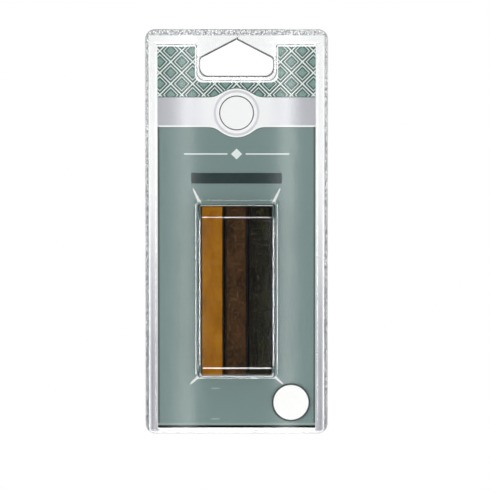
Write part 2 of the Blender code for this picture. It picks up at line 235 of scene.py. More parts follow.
def stand_up(arcs, y, rises):
    """Plan outline set upright: a corner's arc climbs evenly from the wall before it to the next."""
    rises = np.asarray(rises, float)
    t = np.linspace(0, 1, arcs.shape[1])
    arcs = with_sides(arcs)
    t = np.concatenate([t, np.ones(arcs.shape[1] - len(t))])
    climb = np.roll(rises, 1)[:, None] * (1 - t) + rises[:, None] * t
    return np.stack([arcs[..., 0], y - climb, arcs[..., 1]], axis=-1).reshape(-1, 3)


def grid_quads(rows, columns, closed):
    """Quads of a grid whose rows run anticlockwise and go inwards, seen from the front."""
    i, j = np.meshgrid(np.arange(rows - 1), np.arange(columns if closed else columns - 1), indexing="ij")
    k = (j + 1) % columns
    quads = [i * columns + j, i * columns + k, (i + 1) * columns + k, (i + 1) * columns + j]
    return np.stack(quads, axis=-1).reshape(-1, 4)


def fill_flat(points, loops):
    """Triangles of the flat sheet between closed loops of point numbers. A triangle counts when a
    level ray from its middle crosses the loops an odd number of times."""
    numbers = np.concatenate(loops)
    plan = points[numbers][:, [0, 2]]
    starts = np.cumsum([0] + [len(loop) for loop in loops])
    edges = np.concatenate([
        np.column_stack([np.arange(a, b), np.roll(np.arange(a, b), -1)]) for a, b in zip(starts, starts[1:])
    ])
    made = delaunay_2d_cdt([Vector(p) for p in plan], edges.tolist(), [], 1, 1e-9)
    triangles = np.array(made[2])
    origin = np.array([found[0] for found in made[3]])
    middle = np.array([tuple(v) for v in made[0]])[triangles].mean(axis=1)
    a, b = plan[edges[:, 0]], plan[edges[:, 1]]
    spans = (a[:, 1] > middle[:, None, 1]) != (b[:, 1] > middle[:, None, 1])
    rise = np.where(b[:, 1] == a[:, 1], 1, b[:, 1] - a[:, 1])
    at = a[:, 0] + (middle[:, None, 1] - a[:, 1]) / rise * (b[:, 0] - a[:, 0])
    inside = (spans & (at > middle[:, None, 0])).sum(axis=1) % 2 == 1
    return numbers[origin[triangles[inside]]]


def pack_outline(s):
    """Corners of the rim: hang hole, slit and outer edge as one anticlockwise line, sheet on its
    left. Sides 0 to 4 are the hole, 5 and 11 the slit, 6 and 10 the top, 7 left, 8 lower, 9 right."""
    half, shoulder = s.hole_width / 2, -s.hole_shoulder
    top, bottom, side = FRONT_HIGH.z, FRONT_LOW.z, FRONT_HIGH.x
    lean = np.array([math.sin(s.slit_lean), math.cos(s.slit_lean)])
    aside = np.array([lean[1], -lean[0]]) * s.slit_width / 2

    def meet(point, direction, other, other_direction):
        """Where two lines cross."""
        t = np.linalg.solve(np.column_stack([direction, -other_direction]), other - point)
        return point + t[0] * direction

    zero = np.zeros(2)
    level = np.array([1.0, 0.0])
    above = np.array([0.0, top])
    right = meet(aside, lean, zero, np.array([half, shoulder]))
    left = meet(-aside, lean, zero, np.array([-half, shoulder]))
    return np.array([
        right, (half, shoulder), (half, -s.hole_height), (-half, -s.hole_height), (-half, shoulder), left,
        meet(-aside, lean, above, level), (-side, top), (-side, bottom), (side, bottom), (side, top),
        meet(aside, lean, above, level),
    ])


def edge_reach(s, plug_inset):
    """How far each side of the pack's outline tapers: less along the outer line and the slit, and
    beside the hole at most 1 / 3.5 of the land, because the tray's wall starts almost at the edge."""
    reach = np.full(12, s.outer_edge)
    reach[[0, 2, 4]] = s.cut_edge
    reach[[1, 3]] = min(s.cut_edge, (s.hole_side_land + plug_inset) / 3.5)
    reach[[5, 11]] = s.slit_width / 2
    return reach


def even_points(line, count):
    """Points at even shares of a line's length."""
    along = np.concatenate([[0], np.cumsum(np.linalg.norm(np.diff(line, axis=0), axis=1))])
    share = np.linspace(0, along[-1], count)
    return np.column_stack([np.interp(share, along, axis) for axis in line.T])


def seal_rows(s, corners, reach):
    """Rows of the seal band from the outer edge in: the outer line with its sides moved in by more
    and more, from the slit's left side round to its right, at even shares of its length."""
    widths = np.array([s.seal_top, s.seal_side, s.seal_lower])
    lines = []
    for t in np.linspace(0, 1, SEAL_ROWS):
        top, side, lower = s.outer_edge + (widths - s.outer_edge) * t
        moved = inset(corners, [*reach[:6], top, side, lower, side, top, reach[11]])
        turn = s.pack_corner + s.outer_edge - 2 * side
        arcs = round_corners(moved, [SHARP] * 7 + [turn] * 4 + [SHARP], ARC_STEPS)
        line = np.concatenate([moved[6:7], arcs[7:11].reshape(-1, 2), moved[11:12]])
        lines.append(even_points(line, SEAL_COLUMNS))
    return np.array(lines)


def knurl_height(s, rows):
    """Knurl of the seal: pyramids, the product of two triangle waves across the diagonals. It fades
    over a fifth of the band at its two edges. At the share d of the pack's height it is 0.45 + 0.55 d
    as strong, and 0.25 along the lower edge."""
    x, z = rows[..., 0], rows[..., 1]
    pitch = s.knurl_pitch * math.sqrt(2)
    wave_a = 1 - np.abs(2 * (((x + z) / pitch) % 1) - 1)
    wave_b = 1 - np.abs(2 * (((x - z) / pitch) % 1) - 1)
    across = np.linspace(0, 1, len(rows))[:, None]
    fade = np.clip(np.minimum(across, 1 - across) / 0.2, 0, 1)
    up = np.clip((z - FRONT_LOW.z) / (FRONT_HIGH.z - FRONT_LOW.z), 0, 1)
    lower_edge = 0.012
    strength = np.where(up < lower_edge, 0.25, 0.45 + 0.55 * up)
    return s.knurl_depth * wave_a * wave_b * fade * strength


def tray_corners(s):
    """Foot of the tray in plan: a rectangle with a notch for the hang hole, anticlockwise."""
    half = FRONT_HIGH.x - s.side_rim
    top = FRONT_HIGH.z - s.top_rim
    bottom = FRONT_LOW.z + s.lower_rim
    notch = s.hole_width / 2 + s.hole_side_land
    notch_bottom = -s.hole_height - s.hole_lower_land
    return np.array([
        (-half, bottom), (half, bottom), (half, top), (notch, top),
        (notch, notch_bottom), (-notch, notch_bottom), (-notch, top), (-half, top),
    ])


def tray_rings(s, inset_by, rim_y, rise, side_run, end_run, side):
    """Rings of one skin up the tray's wall, from its foot to its face: the notched outline moved in
    by the wall's run on each of its sides, at the wall's rise there."""
    steps = 8
    side_wall = skin_profile([(0, 0), (side_run, rise)], s.tray_radius, s.sheet, side, steps)
    end_wall = skin_profile([(0, 0), (end_run, rise)], s.tray_radius, s.sheet, side, steps)
    corners = tray_corners(s)
    rings = []
    for (by_side, side_rise), (by_end, end_rise) in zip(side_wall, end_wall):
        runs = np.array([by_end, by_side] + [by_end] * 5 + [by_side]) + inset_by
        outer, notch = s.tray_corner + end_run - by_end, s.notch_corner + by_end
        radii = [outer] * 4 + [notch] * 2 + [outer] * 2
        arcs = round_corners(inset(corners, runs), radii, ARC_STEPS)
        rings.append(stand_up(arcs, rim_y, [end_rise, side_rise] + [end_rise] * 5 + [side_rise]))
    return np.array(rings)


def bubble_corners(s):
    """Foot of the bubble in plan, from the crayons outwards, anticlockwise."""
    low, high = CRAYON_BOXES["ochre"][0], CRAYON_BOXES["dark"][1]
    half = high.x + s.side_play + s.sheet / 2 + s.bubble_side_run
    bottom = low.z - s.lower_play - s.sheet / 2 - s.bubble_end_run
    top = high.z + s.top_play + s.sheet / 2
    return np.array([(-half, bottom), (half, bottom), (half, top), (-half, top)])


def bubble_rings(s, face_y, rise, side):
    """Rings of one skin up the bubble: drafted walls all round, and slopes from the end walls to the
    roof. The side walls have no break, so they take points of the straight wall from 0.60 to 0.78 of
    it instead."""
    steps = 10
    break_rise = rise - s.slope_rise
    top = skin_profile(
        [(0, 0), (s.bubble_top_run, break_rise), (s.bubble_top_run + s.top_slope, rise)],
        [s.bubble_top_foot, s.bubble_radius, s.bubble_roof], s.sheet, side, steps,
    )
    lower = skin_profile(
        [(0, 0), (s.bubble_end_run, break_rise), (s.bubble_end_run + s.lower_slope, rise)],
        [s.bubble_lower_foot, s.bubble_radius, s.bubble_roof], s.sheet, side, steps,
    )
    wall = skin_profile(
        [(0, 0), (s.bubble_side_run, rise)], [s.bubble_foot, s.bubble_radius], s.sheet, side, steps
    )
    share = np.linspace(0.60, 0.78, steps + 1)[:, None]
    straight = wall[steps] + (wall[steps + 1] - wall[steps]) * share
    wall = np.concatenate([wall[:steps + 1], straight, wall[steps + 1:]])
    corners = bubble_corners(s)
    rings = []
    for (by_side, side_rise), (by_top, top_rise), (by_lower, lower_rise) in zip(wall, top, lower):
        foot = inset(corners, [by_lower, by_side, by_top, by_side])
        arcs = round_corners(foot, [s.bubble_corner] * 4, ARC_STEPS)
        rings.append(stand_up(arcs, face_y, [lower_rise, side_rise, top_rise, side_rise]))
    return np.array(rings)


def shell_mesh(s, rim_y, rise, plug_inset, side_run, end_run, bubble_rise, knurled):
    """Points, quads and flat triangles of one formed shell: two skins of the same layout, half a sheet
    to each side of its middle, and a tapered cut edge that joins them along the outer line, the slit
    and the hole. At the share l of the half sheet, the edge reaches out by (1 - |l|)^0.9. Last, for
    each point, how much painted grey shade it takes: 1 at the hole, 0.6 along the outer line, 0 elsewhere."""
    corners = pack_outline(s)
    reach = edge_reach(s, plug_inset)
    seal = seal_rows(s, corners, reach)
    shoulder, foot = s.shoulder_radius + s.cut_edge, s.foot_radius + s.cut_edge
    radii = [APEX, shoulder, foot, foot, shoulder, APEX] + [SHARP] * 6
    cut = round_corners(inset(corners, reach), radii, HOLE_STEPS)[:6].reshape(-1, 2)
    t = np.linspace(0, 1, HOLE_STEPS + 1)
    cut_reach = (np.roll(reach, 1)[:6, None] * (1 - t) + reach[:6, None] * t).ravel()
    knurl = knurl_height(s, seal)
    skins = []
    for side in (1, -1):
        y = rim_y - side * s.sheet / 2
        band_y = y + side * knurl * (side == knurled)
        band = np.stack([seal[..., 0], band_y, seal[..., 1]], axis=-1).reshape(-1, 3)
        edge = np.column_stack([cut[:, 0], np.full(len(cut), y), cut[:, 1]])
        lofts = [tray_rings(s, plug_inset, rim_y, rise, side_run, end_run, side)]
        if bubble_rise:
            lofts.append(bubble_rings(s, rim_y - rise, bubble_rise, side))
        skins.append(np.concatenate([band, edge] + [loft.reshape(-1, 3) for loft in lofts]))

    # Faces of one skin: the seal, the rings of the tray and the bubble, and the flat sheet between them
    rows, columns = seal.shape[:2]
    first = rows * columns
    hole = np.arange(first, first + len(cut))
    inner = np.arange((rows - 1) * columns, rows * columns)
    faces, base = [grid_quads(rows, columns, False)], first + len(cut)
    ends = []
    for loft in lofts:
        count, around = loft.shape[:2]
        faces.append(grid_quads(count, around, True) + base)
        last = base + (count - 1) * around
        ends += [np.arange(base, base + around), np.arange(last, last + around)]
        base += count * around
    rim = fill_flat(skins[0], [np.concatenate([inner, hole]), ends[0]])
    flats = [rim, fill_flat(skins[0], ends[1:3])]
    if bubble_rise:
        flats.append(fill_flat(skins[0], [ends[3]]))

    # Cut edge: loops between the skins' borders
    right_end = np.arange(1, rows) * columns + columns - 1
    left_end = np.arange(rows - 1, 0, -1) * columns
    border = np.concatenate([np.arange(columns), right_end, hole, left_end])
    line = skins[0][border][:, [0, 2]]
    along = unit(np.roll(line, -1, axis=0) - np.roll(line, 1, axis=0))
    far = np.concatenate([
        np.full(columns, s.outer_edge), np.full(rows - 1, reach[11]), cut_reach, np.full(rows - 1, reach[5])
    ])
    out = np.column_stack([along[:, 1], -along[:, 0]]) * far[:, None]
    levels = np.linspace(-1, 1, 9)[1:-1]
    rounds = []
    for level in levels:
        x, z = (line + out * (1 - abs(level)) ** 0.9).T
        rounds.append(np.column_stack([x, np.full(len(line), rim_y + s.sheet / 2 * level), z]))

    count = len(skins[0])
    loops = [border] + [2 * count + k * len(border) + np.arange(len(border)) for k in range(len(levels))]
    loops.append(border + count)
    strips = [np.column_stack([a, b, np.roll(b, -1), np.roll(a, -1)]) for a, b in zip(loops, loops[1:])]
    quads, flat = np.concatenate(faces), np.concatenate(flats)
    quads = np.concatenate([quads, quads[:, ::-1] + count] + strips)
    flat = np.concatenate([flat, flat[:, ::-1] + count])
    # Painted grey shade on the cut edge's rounds: 0.6 along the outer line, 1 along the slit's ends and the
    # hole
    outline_shade = np.where(np.arange(len(border)) < columns, 0.6, 1.0)
    grey = np.concatenate([np.zeros(2 * count), np.tile(outline_shade, len(levels))])
    return np.concatenate(skins + rounds), quads, flat, grey


def new_object(name, points, faces, material, smooth=None):
    """Mesh object from whole arrays. smooth says which faces are shaded smooth, all if left out."""
    mesh = bpy.data.meshes.new(name)
    mesh.from_pydata(points.tolist(), [], faces)
    shade = np.ones(len(mesh.polygons), bool) if smooth is None else smooth
    mesh.polygons.foreach_set("use_smooth", shade)
    mesh.materials.append(material)
    mesh.update()
    obj = bpy.data.objects.new(name, mesh)
    bpy.context.scene.collection.objects.link(obj)
    return obj


def shell_object(name, parts, material):
    """Object of one shell, its bends and edges smooth and its flat sheet flat. The attribute cut_edge
    says how much painted grey shade its cut edges take."""
    points, quads, flat, grey = parts
    smooth = np.arange(len(quads) + len(flat)) < len(quads)
    obj = new_object(name, points, quads.tolist() + flat.tolist(), material, smooth)
    obj.data.attributes.new("cut_edge", "FLOAT", "POINT").data.foreach_set("value", grey)
    return obj


def add(tree, kind, settings=None, inputs=None):
    """Outputs of a new node with its settings and inputs: a socket is linked, any other value is set."""
    node = tree.nodes.new("ShaderNode" + kind)
    for key, value in (settings or {}).items():
        setattr(node, key, value)
    for key, value in (inputs or {}).items():
        if isinstance(value, bpy.types.NodeSocket):
            tree.links.new(value, node.inputs[key])
        else:
            node.inputs[key].default_value = value
    return node.outputs


def new_material(name):
    """Material with one Principled shader, and its tree and shader."""
    material = bpy.data.materials.new(name)
    material.use_nodes = True
    tree = material.node_tree
    return material, tree, tree.nodes["Principled BSDF"]


def set_ramp(outputs, stops, interpolation):
    """Stops of the Color Ramp with these outputs, as (place, linear colour)."""
    ramp = outputs[0].node.color_ramp
    ramp.interpolation = interpolation
    while len(ramp.elements) < len(stops):
        ramp.elements.new(0.5)
    for element, (place, value) in zip(ramp.elements, stops):
        element.position = place
        element.color = (*value, 1)


def clear_pet(s):
    """Thermoformed PET sheet: clear and glossy, with a slow ripple of about 14 mm from the forming. The
    sloped side walls take a painted grey shade that deepens towards the lower end. The knurled seal
    takes a painted grey shade with specks of about 0.8 mm, and the slit and the cut edges a painted dark
    shade."""
    material, tree, shader = new_material("thermoformed clear PET")
    place = add(tree, "TexCoord")["Object"]
    scaled = add(tree, "VectorMath", {"operation": "SCALE"}, {0: place, "Scale": 1 / MM})[0]
    axes = add(tree, "SeparateXYZ", inputs={0: scaled})
    y, z = axes["Y"], axes["Z"]
    far = add(tree, "Math", {"operation": "ABSOLUTE"}, {0: axes["X"]})[0]
    stretch = add(tree, "Mapping", inputs={"Vector": scaled, "Scale": (1, 1, 0.25)})[0]
    cloud, speck, ripple = (
        add(tree, "TexNoise", inputs={"Vector": vector, "Scale": scale, "Detail": detail})[0]
        for vector, scale, detail in ((stretch, 1 / 10, 2.0), (scaled, 1.3, 1.0), (scaled, 1 / 14, 1.0))
    )
    across = (math.cos(s.slit_lean), 0, -math.sin(s.slit_lean))
    slit = add(tree, "VectorMath", {"operation": "DOT_PRODUCT"}, {0: scaled, 1: across})["Value"]
    slit = add(tree, "Math", {"operation": "ABSOLUTE"}, {0: slit})[0]
    cut = add(tree, "Attribute", {"attribute_name": "cut_edge"})["Fac"]

    # Tints, each laid on by the product of eased steps: (value, start, end, level before, level after).
    # They are painted shade: on the side walls and the side seal, deeper towards the lower end; on the
    # knurled seal along the top and the lower edge; along the slit; and on the cut edges. Places are in
    # mm, and those along y leave out the back shell or the raised faces.
    low = FRONT_LOW.z / MM
    tints = (
        ("#a6a6af", (
            (far, 34.5, 34.9, 0, 1), (far, 35.4, 37.4, 0.75, 1), (far, 37.7, 38.4, 1, 0),
            (z, -48, -150, 0, 1), (cloud, 0.3, 0.7, 0.85, 1), (y, -0.8, -0.7, 1, 0),
        )),
        ("#83858a", (
            (far, 38.1, 38.9, 0, 1), (far, 39.2, 39.9, 1, 0.5), (z, -20, -140, 0.65, 1),
            (speck, 0.4, 0.6, 0.5, 1.4), (y, -0.1, 0.1, 1, 0),
        )),
        ("#8f9196", (
            (far, 38.3, 39.0, 1, 0), (z, 1.6, 2.2, 0, 1), (z, 4.0, 4.5, 0.5, 0.3),
            (speck, 0.4, 0.6, 0.2, 1.7), (y, -0.1, 0.1, 1, 0),
        )),
        ("#8f9196", (
            (far, 37.5, 39.0, 1, 0), (z, low + 1.1, low + 0.6, 0, 0.25),
            (speck, 0.4, 0.6, 0, 1), (y, -0.1, 0.1, 1, 0),
        )),
        ("#5f6265", ((slit, 0.15, 0.5, 0.8, 0), (z, 0.3, 0.8, 0, 1), (y, -0.1, 0.1, 1, 0))),
        ("#9c9a9e", ((cut, 0, 1, 0, 1), (cloud, 0.3, 0.7, 0.8, 1))),
    )
    tint = (*linear("#fdfefe"), 1)
    for shade, steps in tints:
        mask = 1.0
        for value, start, end, first, last in steps:
            step = add(
                tree, "MapRange", {"interpolation_type": "SMOOTHSTEP"},
                {"Value": value, "From Min": start, "From Max": end, "To Min": first, "To Max": last},
            )[0]
            mask = add(tree, "Math", {"operation": "MULTIPLY"}, {0: mask, 1: step})[0]
        tint = add(tree, "Mix", {"data_type": "RGBA"}, {"Factor": mask, 6: tint, 7: (*linear(shade), 1)})[2]
    tree.links.new(tint, shader.inputs["Base Color"])
    rough = add(tree, "MapRange", inputs={"Value": cloud, "To Min": 0.025, "To Max": 0.04})[0]
    tree.links.new(rough, shader.inputs["Roughness"])
    bump = add(tree, "Bump", inputs={"Height": ripple, "Strength": 0.02, "Distance": 0.2 * MM})[0]
    tree.links.new(bump, shader.inputs["Normal"])
    shader.inputs["Transmission Weight"].default_value = 1
    shader.inputs["IOR"].default_value = 1.57
    return material


def white_highlight_pet():
    """PET folded sharply at the bubble's corners, coloured white along the folds as a painted highlight; it
    stays glossy.
    """
    material, tree, shader = new_material("PET with painted white highlight")
    place = add(tree, "TexCoord")["Object"]
    noise = add(tree, "TexNoise", inputs={"Vector": place, "Scale": 1 / (0.8 * MM), "Detail": 2.0})["Fac"]
    tone = add(tree, "ValToRGB", inputs={"Fac": noise})
    set_ramp(tone, [(0.3, linear("#f4f7f9")), (0.7, linear("#ffffff"))], "LINEAR")
    tree.links.new(tone[0], shader.inputs["Base Color"])
    rough = add(tree, "MapRange", inputs={"Value": noise, "To Min": 0.1, "To Max": 0.25})[0]
    tree.links.new(rough, shader.inputs["Roughness"])
    shader.inputs["IOR"].default_value = 1.57
    return material


def printed_board(c):
    """Coated card with an offset print: teal ground, a lozenge trellis at the top, a silver band with
    a bare round plaque, a plain divider, a dark bar and fine dashes, with painted shade over it behind the
    crayons and along the side and lower edges. The back is bare board."""
    material, tree, shader = new_material("offset printed coated card")
    place = add(tree, "TexCoord")["Object"]
    scaled = add(tree, "VectorMath", {"operation": "SCALE"}, {0: place, "Scale": 1 / MM})[0]
    axes = add(tree, "SeparateXYZ", inputs={0: scaled})

    # Values in mm, each made from those before it. The trellis has two sets of diagonal lines, 9.6 mm
    # apart on the level, and near is the distance to the next one. The plaque is a smooth union of the
    # silver band and a circle, negative inside.
    pitch = 9.6
    v = {"x": axes["X"], "y": axes["Y"], "z": axes["Z"]}
    for name, operation, *operands in (
        ("far", "ABSOLUTE", "x"), ("width", "DIVIDE", "far", 35.0),
        ("up", "ADD", "x", "z"), ("rising", "PINGPONG", "up", pitch / 2),
        ("down", "SUBTRACT", "x", "z"), ("falling", "PINGPONG", "down", pitch / 2),
        ("near", "MINIMUM", "rising", "falling"), ("gap", "MULTIPLY", "near", 2 / pitch),
        ("above", "ADD", "z", 32.0), ("x2", "MULTIPLY", "x", "x"), ("z2", "MULTIPLY", "above", "above"),
        ("r2", "ADD", "x2", "z2"), ("r", "SQRT", "r2"), ("circle", "SUBTRACT", "r", 10.7),
        ("from_band", "ADD", "z", 31.7), ("off_band", "ABSOLUTE", "from_band"),
        ("band", "SUBTRACT", "off_band", 6.5), ("plaque", "SMOOTH_MIN", "circle", "band", 4.5),
        ("from_rule", "ADD", "z", 50.0), ("off_rule", "ABSOLUTE", "from_rule"),
        ("lozenge", "ADD", "far", "off_rule"),
    ):
        inputs = {number: v.get(operand, operand) for number, operand in enumerate(operands)}
        v[name] = add(tree, "Math", {"operation": operation}, inputs)[0]
    trellis = add(tree, "ValToRGB", inputs={"Fac": v["gap"]})
    set_ramp(trellis, [
        (0.0, c.line_white), (0.08, c.deep_teal), (0.3, c.line_white), (0.4, c.deep_teal), (0.6, c.pale_teal),
    ], "CONSTANT")
    sheen = add(tree, "ValToRGB", inputs={"Fac": v["width"]})
    set_ramp(sheen, [
        (0.0, linear("#fdfdfd")), (0.36, linear("#fbfbfc")), (0.56, linear("#e9e9ee")),
        (0.86, c.silver), (1.0, linear("#babbc1")),
    ], "EASE")

    # Inks and painted shade from the ground up, each where every named value lies within a half width of a
    # middle
    low = CARD_LOW.z / MM
    white = linear("#ffffff")
    layers = (
        (trellis[0], [("z", 0, 25.2)]),
        (linear("#5b716d"), [("plaque", -20, 20.4)]),
        (sheen[0], [("plaque", -20, 20)]),
        (white, [("plaque", -0.35, 0.35), ("z", -40, 8.3)]),
        (linear("#dcdce2"), [("circle", -20.7, 20)]),
        (white, [("circle", -21.7, 20)]),
        (linear("#23292a"), [("circle", -3.3, 0.22)]),
        (c.line_white, [("from_rule", 0, 0.28), ("far", 13.5, 9.5)]),
        (c.line_white, [("lozenge", 0, 2.4)]),
        (c.bar, [("far", 0, 19.9), ("z", -60.65, 2.35)]),
        # Painted shade: a near-black patch behind the crayons, so that the gaps between them read dark
        (linear("#0b0907"), [("far", 0, 16.6), ("z", -110.1, 37.4)]),
        (linear("#9fb2ae"), [("x", -9.3, 1.8), ("z", -153.3, 0.25)]),
        (linear("#9fb2ae"), [("x", -9.3, 1.8), ("z", -166.8, 0.25)]),
        # Painted shade: darker teal strips along the card's side edges
        (linear("#53645f"), [("far", 34.75, 1.0), ("z", -110, 72)]),
        # Painted shade: a near-black line along the card's lower edge, and a lighter teal line just above it
        (linear("#8fa39f"), [("z", low + 1.65, 0.5)]),
        (linear("#020505"), [("z", low, 1.15)]),
    )
    ground = (*c.teal, 1)
    for ink, limits in layers:
        mask = 1.0
        for name, middle, half in limits:
            inside = add(tree, "Math", {"operation": "COMPARE"}, {0: v[name], 1: middle, 2: half})[0]
            mask = add(tree, "Math", {"operation": "MULTIPLY"}, {0: mask, 1: inside})[0]
        ink = ink if isinstance(ink, bpy.types.NodeSocket) else (*ink, 1)
        ground = add(tree, "Mix", {"data_type": "RGBA"}, {"Factor": mask, 6: ground, 7: ink})[2]

    # Ink lies a little unevenly, at about 2 mm
    mottle = add(tree, "TexNoise", inputs={"Vector": scaled, "Scale": 1 / 2, "Detail": 4.0})[0]
    tone = add(tree, "MapRange", inputs={"Value": mottle, "To Min": 0.965, "To Max": 1.035})[0]
    inked = add(tree, "VectorMath", {"operation": "SCALE"}, {0: ground, "Scale": tone})[0]
    print_depth = 0.05
    front = add(tree, "Math", {"operation": "LESS_THAN"}, {0: v["y"], 1: CARD_LOW.y / MM + print_depth})[0]
    both = add(tree, "Mix", {"data_type": "RGBA"}, {"Factor": front, 6: (*c.board, 1), 7: inked})[2]
    tree.links.new(both, shader.inputs["Base Color"])
    rough = add(tree, "MapRange", inputs={"Value": mottle, "To Min": 0.42, "To Max": 0.55})[0]
    tree.links.new(rough, shader.inputs["Roughness"])
    shader.inputs["Specular IOR Level"].default_value = 0.08
    return material


def label_paper(c):
    """Matt coated label paper, die-cut: near white, fine fibres and a thin dark grey-teal ring at its rim."""
    material, tree, shader = new_material("die-cut label paper")
    place = add(tree, "TexCoord")["Object"]
    middle = (LABEL_LOW + LABEL_HIGH) / 2
    radius = (LABEL_HIGH.x - LABEL_LOW.x) / 2
    centred = add(
        tree, "Mapping",
        inputs={"Vector": place, "Location": (-middle.x / radius, 0, -middle.z / radius),
                "Scale": (1 / radius, 0, 1 / radius)},
    )[0]
    out = add(tree, "VectorMath", {"operation": "LENGTH"}, {0: centred})["Value"]
    fibre = add(tree, "TexNoise", inputs={"Vector": place, "Scale": 1 / (0.5 * MM), "Detail": 5.0})["Fac"]
    tone = add(tree, "ValToRGB", inputs={"Fac": fibre})
    set_ramp(tone, [(0.3, linear("#fafaf8")), (0.7, c.paper)], "LINEAR")
    edge = add(
        tree, "MapRange", {"interpolation_type": "SMOOTHSTEP"},
        {"Value": out, "From Min": 0.9, "From Max": 0.93},
    )[0]
    rim = add(tree, "Mix", {"data_type": "RGBA"}, {"Factor": edge, 6: tone[0], 7: (*linear("#3c4846"), 1)})[2]
    tree.links.new(rim, shader.inputs["Base Color"])
    shader.inputs["Roughness"].default_value = 0.6
    shader.inputs["Specular IOR Level"].default_value = 0.3
    return material


def cast_wax(name, base, light, deep, speck, fleck, middle, half, arris):
    """Cast furniture wax: drawn-out clouds of pigment of about 5 mm, specks and pits of about 1.2 mm, as
    strong as fleck says, and a waxy, uneven gloss. Its long edges take a painted dark shade over the width
    arris, about middle."""
    material, tree, shader = new_material(name)
    place = add(tree, "TexCoord")["Object"]
    drawn = add(tree, "Mapping", inputs={"Vector": place, "Scale": (1, 1, 0.45)})[0]
    pigment, grain = (
        add(
            tree, "TexNoise",
            inputs={"Vector": vector, "Scale": 1 / (size * MM), "Detail": detail, "Roughness": 0.6},
        )[0]
        for vector, size, detail in ((drawn, 5, 6.0), (place, 1.2, 3.0))
    )
    tone = add(tree, "ValToRGB", inputs={"Fac": pigment})
    set_ramp(tone, [(0.32, deep), (0.5, base), (0.68, light)], "LINEAR")
    specks = add(
        tree, "MapRange",
        inputs={"Value": grain, "From Min": 0.53, "From Max": 0.7, "To Max": fleck},
    )[0]
    coloured = add(tree, "Mix", {"data_type": "RGBA"}, {"Factor": specks, 6: tone[0], 7: (*speck, 1)})[2]
    # Painted shade: darker towards the long edges, over the width arris from middle
    x = add(tree, "SeparateXYZ", inputs={0: place})["X"]
    aside = add(tree, "Math", {"operation": "SUBTRACT"}, {0: x, 1: middle})[0]
    aside = add(tree, "Math", {"operation": "ABSOLUTE"}, {0: aside})[0]
    rim_shade = add(
        tree, "MapRange", {"interpolation_type": "SMOOTHSTEP"},
        {"Value": aside, "From Min": half - arris, "From Max": half - 0.1 * MM, "To Max": 0.95},
    )[0]
    coloured = add(
        tree, "Mix", {"data_type": "RGBA"},
        {"Factor": rim_shade, 6: coloured, 7: (*linear("#090705"), 1)},
    )[2]
    tree.links.new(coloured, shader.inputs["Base Color"])
    rough = add(tree, "MapRange", inputs={"Value": grain, "To Min": 0.38, "To Max": 0.6})[0]
    tree.links.new(rough, shader.inputs["Roughness"])
    bump = add(tree, "Bump", inputs={"Height": grain, "Strength": 0.6, "Distance": 0.3 * MM})[0]
    tree.links.new(bump, shader.inputs["Normal"])
    shader.inputs["Specular IOR Level"].default_value = 0.05
    return material


def crayon_mesh(low, high, seed):
    """Closed bar of cast wax. Its section is a rounded rectangle at even shares of its length; towards
    each end it is drawn in by a quarter circle, r - r sin b at the depth r - r cos b, and its front
    falls back by 1.1 (1 - d / 3) mm over the last 3 mm. Sines of 33 and 12 mm along the bar pull it in by
    up to 0.1 mm."""
    edge, end_radius, ease_depth, ease_length, wave = 0.9 * MM, 0.7 * MM, 1.1 * MM, 3 * MM, 0.03 * MM
    columns, rows, end_rows = 160, 148, 7
    half_x, half_y = (high.x - low.x) / 2, (high.y - low.y) / 2
    middle_x, middle_y = (high.x + low.x) / 2, (high.y + low.y) / 2
    box = np.array([(-half_x, -half_y), (half_x, -half_y), (half_x, half_y), (-half_x, half_y)])
    ring = round_corners(box, [edge] * 4, 8).reshape(-1, 2)
    section = even_points(np.concatenate([ring, ring[:1]]), columns + 1)[:-1]
    around = np.linspace(0, 2 * math.pi, columns + 1)[:-1]

    # Along the bar: rings across each flat end, round its edge and up the straight part
    flat_end = [0.2, 0.5, 0.8]
    turn = np.linspace(0, math.pi / 2, end_rows)
    depth = np.concatenate([np.zeros(len(flat_end)), end_radius * (1 - np.cos(turn))])
    drawn = np.concatenate([np.full(len(flat_end), end_radius), end_radius * (1 - np.sin(turn))])
    scale = np.concatenate([flat_end, np.ones(end_rows)])
    span = high.z - low.z
    inner = np.linspace(end_radius, span - end_radius, rows + 2)[1:-1]
    z = np.concatenate([depth, inner, span - depth[::-1]])[:, None]
    drawn = np.concatenate([drawn, np.zeros(rows), drawn[::-1]])[:, None]
    scale = np.concatenate([scale, np.ones(rows), scale[::-1]])[:, None]
    ease = ease_depth * np.clip(1 - np.minimum(z, span - z) / ease_length, 0, 1)
    wobble = wave * (
        np.sin(z * 190 + 2 * around + seed) * np.sin(3 * around + 1.7 * seed)
        + 0.6 * np.sin(z * 520 + 5 * around - 2 * seed) + 1.6
    )
    front = np.clip(0.5 - section[:, 1] / (2 * half_y), 0, 1)
    x = middle_x + section[:, 0] * scale * (1 - (drawn + wobble) / half_x)
    y = middle_y + section[:, 1] * scale * (1 - (drawn + wobble) / half_y) + ease * front * scale
    points = np.stack([x, y, np.broadcast_to(low.z + z, x.shape)], axis=-1)
    quads = grid_quads(len(z), columns, True)
    caps = [np.arange(columns)[::-1], (len(z) - 1) * columns + np.arange(columns)]
    return points.reshape(-1, 3), quads.tolist() + [cap.tolist() for cap in caps]


